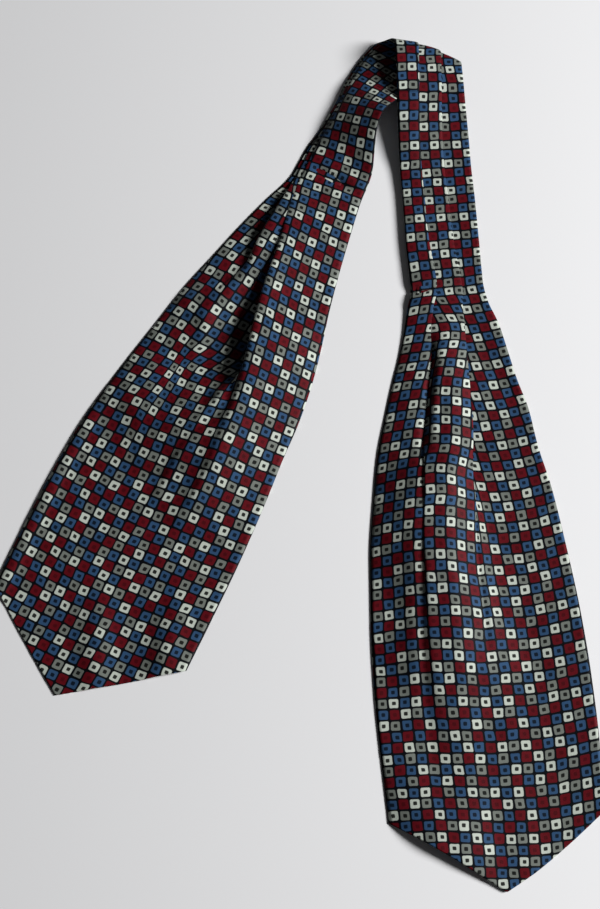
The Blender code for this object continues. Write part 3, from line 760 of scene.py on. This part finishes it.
WIDE_LEFT = (
    Pleat(212, 3.5, WIDE_TUCK + 1.5, HIGH, MIDDLE),
    Pleat(250, 5, WIDE_TUCK + 2, TOP, BOTTOM + 0.5 * LAYER),
    Pleat(300, 6, WIDE_TUCK + 2.5, TOP, BOTTOM),
    Pleat(361, 8, WIDE_TUCK - 1, TOP, BOTTOM),
    Pleat(380, 13, 29, 5.4, BOTTOM),
    Pleat(395, 19, 28, 6.6, BOTTOM),
    Pleat(425, 34, 24, 9.8, BOTTOM),
    Pleat(456, 45, 19, 11.6, 0.8),
    Pleat(486, 58.5, 13, 14.0, 0.8),
    Pleat(516, 72, 6, 15.4, 1.0),
    Pleat(532, 78, -5, 14.8, 3.5),
    Pleat(547, 84, -14, 14.2, 6.2),
    Pleat(577, 91, -20, 14.0, 9.0),
    Pleat(592, 94, -22, 12.0, 7.2),
    Pleat(608, 96, -24, 9.6, 3.4),
    Pleat(625, 96, -24, 6.8, 1.4),
    Pleat(640, 94, -24, 3.6, 1.0),
    Pleat(653, 94, -24, 1.4, 0.8),
    Pleat(690, 92, -24, BOTTOM, BOTTOM),
)
PANELS_LEFT = (
    Panel(212, LOW, HIGH, 0.0, 0.0, 0.0, 0.0, 0.0),
    Panel(250, BOTTOM, TOP, 0.0, 0.9, 0.6, 0.0, 0.0),
    Panel(289, BOTTOM, TOP, 0.0, 0.9, 0.6, 0.0, 0.0),
    Panel(310, BOTTOM, 4.0, 0.0, 0.9, 0.6, 0.0, 0.0),
    Panel(334, BOTTOM, 1.6, 0.0, 0.9, 0.6, 0.0, 0.0),
    Panel(350, BOTTOM, BOTTOM, 0.0, 1.0, 0.6, 0.0, 0.0),
    Panel(361, BOTTOM, BOTTOM, 0.0, 1.0, 0.4, 0.0, 0.0),
    Panel(395, BOTTOM, BOTTOM, 0.0, 1.2, 0.2, -0.6, 0.0),
    Panel(425, BOTTOM, BOTTOM, 0.8, 1.0, -0.6, -1.5, 0.0),
    Panel(456, BOTTOM, BOTTOM, 0.6, -1.0, -2.0, -2.3, 0.0),
    Panel(475, BOTTOM, BOTTOM, 0.6, -1.8, 0.4, -2.7, 0.0),
    Panel(494, BOTTOM, BOTTOM, 0.6, -3.2, 1.6, -3.0, 0.0),
    Panel(508, BOTTOM, 1.2, 0.8, -2.0, 1.2, -3.0, 0.0),
    Panel(530, BOTTOM, 2.0, 0.8, -0.6, 0.6, -3.2, 0.0),
    Panel(560, BOTTOM, 2.0, 0.6, 0.2, -0.4, -3.3, 0.0),
    Panel(590, BOTTOM, 1.0, -0.4, 0.2, -1.0, -3.3, 0.0),
    Panel(620, BOTTOM, BOTTOM, -0.2, 0.2, -1.0, -3.3, 0.0),
    Panel(660, BOTTOM, 1.0, 0.0, 0.0, -0.4, -3.3, 0.0),
    Panel(700, BOTTOM, 2.4, 0.0, 0.0, 0.0, -3.3, 0.0),
    Panel(788, BOTTOM, 2.0, 0.0, 0.0, 0.0, -3.3, 0.0),
)
SLIDES_LEFT = (
    Slide(212, 4, 4, 0, 0, 0, 0, 0, 0),
    Slide(240, 4, 4, -0.6, 0, -2, -3, -3, -3),
    Slide(262, 3.8, 3.4, -1.0, -0.4, -4, -4, -4.5, -4),
    Slide(280, 5.1, 3.9, -0.8, 0, -2, -3.4, -4, -4),
    Slide(300, 6, 4.2, -2.6, -0.1, -0.5, -1.6, -1, -1.6),
    Slide(320, 7.2, 6.0, -1.7, 0.8, 0, -0.6, -0.4, -1.3),
    Slide(340, 7.8, 6.2, 0.4, 1.1, -0.2, -0.7, -0.6, -1.3),
    Slide(355, 8, 5.8, 0.2, 0.8, -0.4, -0.3, 0, 0),
    Slide(370, 8, 5.2, -0.5, -0.3, -1.4, 1.4, 0.5, 0.6),
    Slide(390, 8.2, 3.5, -1.0, -0.4, -2, 5, 2.4, 0.7),
    Slide(410, 8.1, 3.6, -1.0, -0.5, -2.6, 4, 1.5, 0.9),
    Slide(430, 8.4, 3.6, -0.9, -0.6, -2.4, 3.6, 0.7, 0),
    Slide(450, 8, 4.1, -0.2, 0.2, 0, 4.8, 0.1, 0.4),
    Slide(470, 4.6, 4.4, 0.5, 1.0, 3.6, 6, 0, 0.5),
    Slide(490, 2.6, 3.9, 1.1, 1.7, 3.2, 5, -0.9, -0.2),
    Slide(510, 2.8, 3.2, 1.3, 2.1, 1, 3.4, -1.8, -0.4),
    Slide(530, 1.4, 2.4, 0.8, 1.7, 0, 1.8, -2.5, -0.4),
    Slide(550, 0.6, 1.5, 0, 0.8, -2, 0.2, -2.8, -0.6),
    Slide(570, 0.8, 0.8, -0.9, -0.7, -3.2, -0.6, -2.2, -0.4),
    Slide(590, -0.5, 0.2, -0.8, -0.8, -2.5, -0.8, -1.0, 0.1),
    Slide(610, -1.4, -0.7, -1.0, -0.7, -1.4, -0.4, -0.8, 0.1),
    Slide(630, -1.5, -0.7, -0.5, -0.6, -1.3, -0.5, -1.0, 0),
    Slide(650, -1.4, -0.6, 0.2, -0.2, -1.4, -0.5, -1.3, -0.3),
    Slide(670, -1.7, -0.4, 0.4, 0.3, -0.9, -0.4, -1.3, -0.1),
    Slide(690, -1.5, 0, 0.7, 0.4, 0, 0.3, -0.6, 0.4),
    Slide(710, -1.2, 0.2, 0.9, 0.4, 0.2, 0.4, -0.5, 0.6),
    Slide(730, -1.0, 0, 0.4, 0.3, -0.3, -0.2, -0.8, 0.2),
    Slide(750, -0.2, 0.3, 0, -0.6, 0.3, -0.5, -0.8, 0.6),
    Slide(788, 0.5, 1, 0.5, 0, 0, 0, 0, 0),
)
CREASES_LEFT = (
    Crease(350, 104, 357, 136, -2.2, 3.0),
    Crease(342, 106, 348, 138, 1.0, 5.0),
    Crease(364, 112, 368, 140, 1.2, 4.5),
    Crease(552, 84, 590, 72, -1.6, 4.5),
    Crease(545, 70, 556, 82, 1.0, 3.0),
    Crease(440, 116, 470, 138, 0.7, 8.0),
    Crease(575, 5, 790, 6, 1.9, 4.5),
    Crease(712, 68, 780, 98, 3.0, 11.0),
    Crease(700, 122, 758, 133, 3.2, 11.0),
)
SHOULDERED = ((0.2, 1.0), (0.6, 0.85))
EVEN_THREE = ((0.25, 0.65), (0.5, 1.0), (0.8, 0.95))
LEFT_HALF = Half(
    False, RAILS_LEFT, NARROW_LEFT, WIDE_LEFT, PANELS_LEFT, SLIDES_LEFT, CREASES_LEFT,
    SHOULDERED, EVEN_THREE,
)

TURN_END = 262.0
TURN_ROWS = 110
FLIP = 212.0                # halfway round, where the face comes to lie down
ROLL_LEFT, ROLL_RIGHT = 7.2, 4.9    # radius at either edge
ROLL_FROM = (72.4, 321.8)   # where the roll begins on the left edge
ROLL_SLOPE = 12.5           # degrees
ROLL_BULGE = 4.0            # how far the roll stands out halfway
EASE_LEFT = (204.0, 226.0)  # over these the left edge goes from the roll to its own way down
EASE_RIGHT = (208.0, 240.0) # and over these the right edge


def roll_over(points, t):
    """Bends the straight band back over the roll: new points and the cloth's normals."""
    slope = np.radians(ROLL_SLOPE)
    across_roll = np.array([np.sin(slope), np.cos(slope), 0.0])
    start = np.array([ROLL_FROM[0] - CENTRE[0], ROLL_FROM[1] - CENTRE[1], 0.0])
    radius = ROLL_LEFT + (ROLL_RIGHT - ROLL_LEFT) * t
    beyond = ((points - start) @ across_roll)[:, None] - ROLL_BULGE * 4 * t * (1 - t)
    beyond = np.maximum(beyond, 0.0)
    angle = np.minimum(beyond / radius, np.pi)
    rest = beyond - angle * radius
    up = np.array([0.0, 0.0, 1.0])
    bent = points - across_roll * (beyond + rest - radius * np.sin(angle))
    bent = bent - up * radius * (1 - np.cos(angle))
    return bent, up * np.cos(angle) + across_roll * np.sin(angle)


def roll_ease(along, t):
    """0 while the cloth is on the roll, 1 once it lies on its own way down."""
    start = EASE_LEFT[0] + (EASE_RIGHT[0] - EASE_LEFT[0]) * t
    end = EASE_LEFT[1] + (EASE_RIGHT[1] - EASE_LEFT[1]) * t
    ease = np.clip((along - start) / (end - start), 0.0, 1.0)
    return ease * ease * (3 - 2 * ease)


def turn_row(along):
    """One row of the turn: its points and their places in the print."""
    half = RIGHT_HALF if along < FLIP else LEFT_HALF
    widths = []
    for table in (RAILS_RIGHT, RAILS_LEFT):
        left, right = rail_points(table, along)
        widths.append(float(np.hypot(*(right - left)[:2])))
    share = float(roll_ease(along, 0.5))
    width = widths[0] * (1 - share) + widths[1] * share
    controls, panels = section_controls(half, along, width)
    curve = section_curve(controls)
    t = curve[:, :1] / width
    rise = (curve[:, 1:] - MIDDLE) * (1 if half.face_up else -1)
    left, right = rail_points(RAILS_RIGHT, along)
    rolled, normals = roll_over(left * (1 - t) + right * t, t)
    points = rolled + normals * rise
    if along > EASE_LEFT[0]:
        ease = roll_ease(along, t)
        points = points * (1 - ease) + rail_chord(RAILS_LEFT, along, t, rise, panels) * ease
    return points, *print_places(points, read_table(half.slides, along))


turn = lay_strip(
    "neckband_turn_silk",
    TURN_ROWS,
    straight_place(TURN_START + JOIN_GAP / 2, TURN_END - JOIN_GAP / 2),
    turn_row,
)
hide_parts("neckband_turn")

# ---------------------------------------------------------------- left neckband
# The band comes out from under the turn with its reverse up and the fold of the wide pleat on top.
# It is the same pressed stack of silk, stitched across again where the blade begins.

LEFT_NECK = 361.0
LEFT_BAND_ROWS = 60
left_neckband = lay_strip(
    "left_neckband_silk",
    LEFT_BAND_ROWS,
    straight_place(TURN_END + JOIN_GAP / 2, LEFT_NECK - SEAM_GAP / 2),
    lambda along: blade_row(LEFT_HALF, along),
)
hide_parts("left_neckband")

# ---------------------------------------------------------------- left blade
# The other end of the strip of printed silk, reverse up: a broad roll over a deep pleat, which
# opens into a flat blade with a point like the first, sewn and turned in the same way.

LEFT_POINT, LEFT_CORNERS = 787.0, 739.0
left_blade = lay_strip(
    "left_blade_silk",
    BLADE_ROWS,
    blade_place(LEFT_NECK + SEAM_GAP / 2, LEFT_POINT, LEFT_POINT, LEFT_CORNERS, LEFT_HALF),
    lambda along: blade_row(LEFT_HALF, along),
)
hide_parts("left_blade")

# ---------------------------------------------------------------- table, light and camera
# A plain pale surface on which the cravat lies loose, a soft light from the right, thirty degrees
# over the table, and a little light from all round.

FLOOR_SIZE = 6.0            # m
LIGHT_PLACE = (2.6, 0.0, 1.5)
LIGHT_SIZE = 1.1
LIGHT_POWER = 158.0         # W
ROOM_LIGHT = 0.04
CAMERA_PLACE = (0.0038, -0.4449, 1.1699)
CAMERA_TILT = 20.0          # degrees from straight down
CAMERA_LENS = 70.3          # mm
CAMERA_SENSOR = 36.0        # mm, on its long side

deselect()
bpy.ops.mesh.primitive_plane_add(size=FLOOR_SIZE, location=(0, 0, 0))
floor = bpy.context.active_object
floor.name = "floor"
paper = Shader("pale_paper")
paper.surface.inputs["Base Color"].default_value = (0.80, 0.80, 0.81, 1.0)
paper.surface.inputs["Roughness"].default_value = 0.85
floor.data.materials.append(paper.material)

world = bpy.data.worlds.new("room")
world.use_nodes = True
background = world.node_tree.nodes["Background"]
background.inputs["Color"].default_value = (0.96, 0.97, 1.0, 1.0)
background.inputs["Strength"].default_value = ROOM_LIGHT
bpy.context.scene.world = world

window_light = bpy.data.lights.new("window", "AREA")
window_light.shape, window_light.size, window_light.energy = "DISK", LIGHT_SIZE, LIGHT_POWER
window = bpy.data.objects.new("window", window_light)
bpy.context.scene.collection.objects.link(window)
window.location = LIGHT_PLACE
window.rotation_euler = (np.arctan2(LIGHT_PLACE[0], LIGHT_PLACE[2]), 0.0, np.pi / 2)    # to the middle

camera_data = bpy.data.cameras.new("camera")
camera_data.lens = CAMERA_LENS
camera_data.sensor_width = CAMERA_SENSOR
camera = bpy.data.objects.new("camera", camera_data)
bpy.context.scene.collection.objects.link(camera)
camera.location = CAMERA_PLACE
camera.rotation_euler = (np.radians(CAMERA_TILT), 0.0, 0.0)
bpy.context.scene.camera = camera
bpy.context.scene.view_settings.view_transform = "Standard"
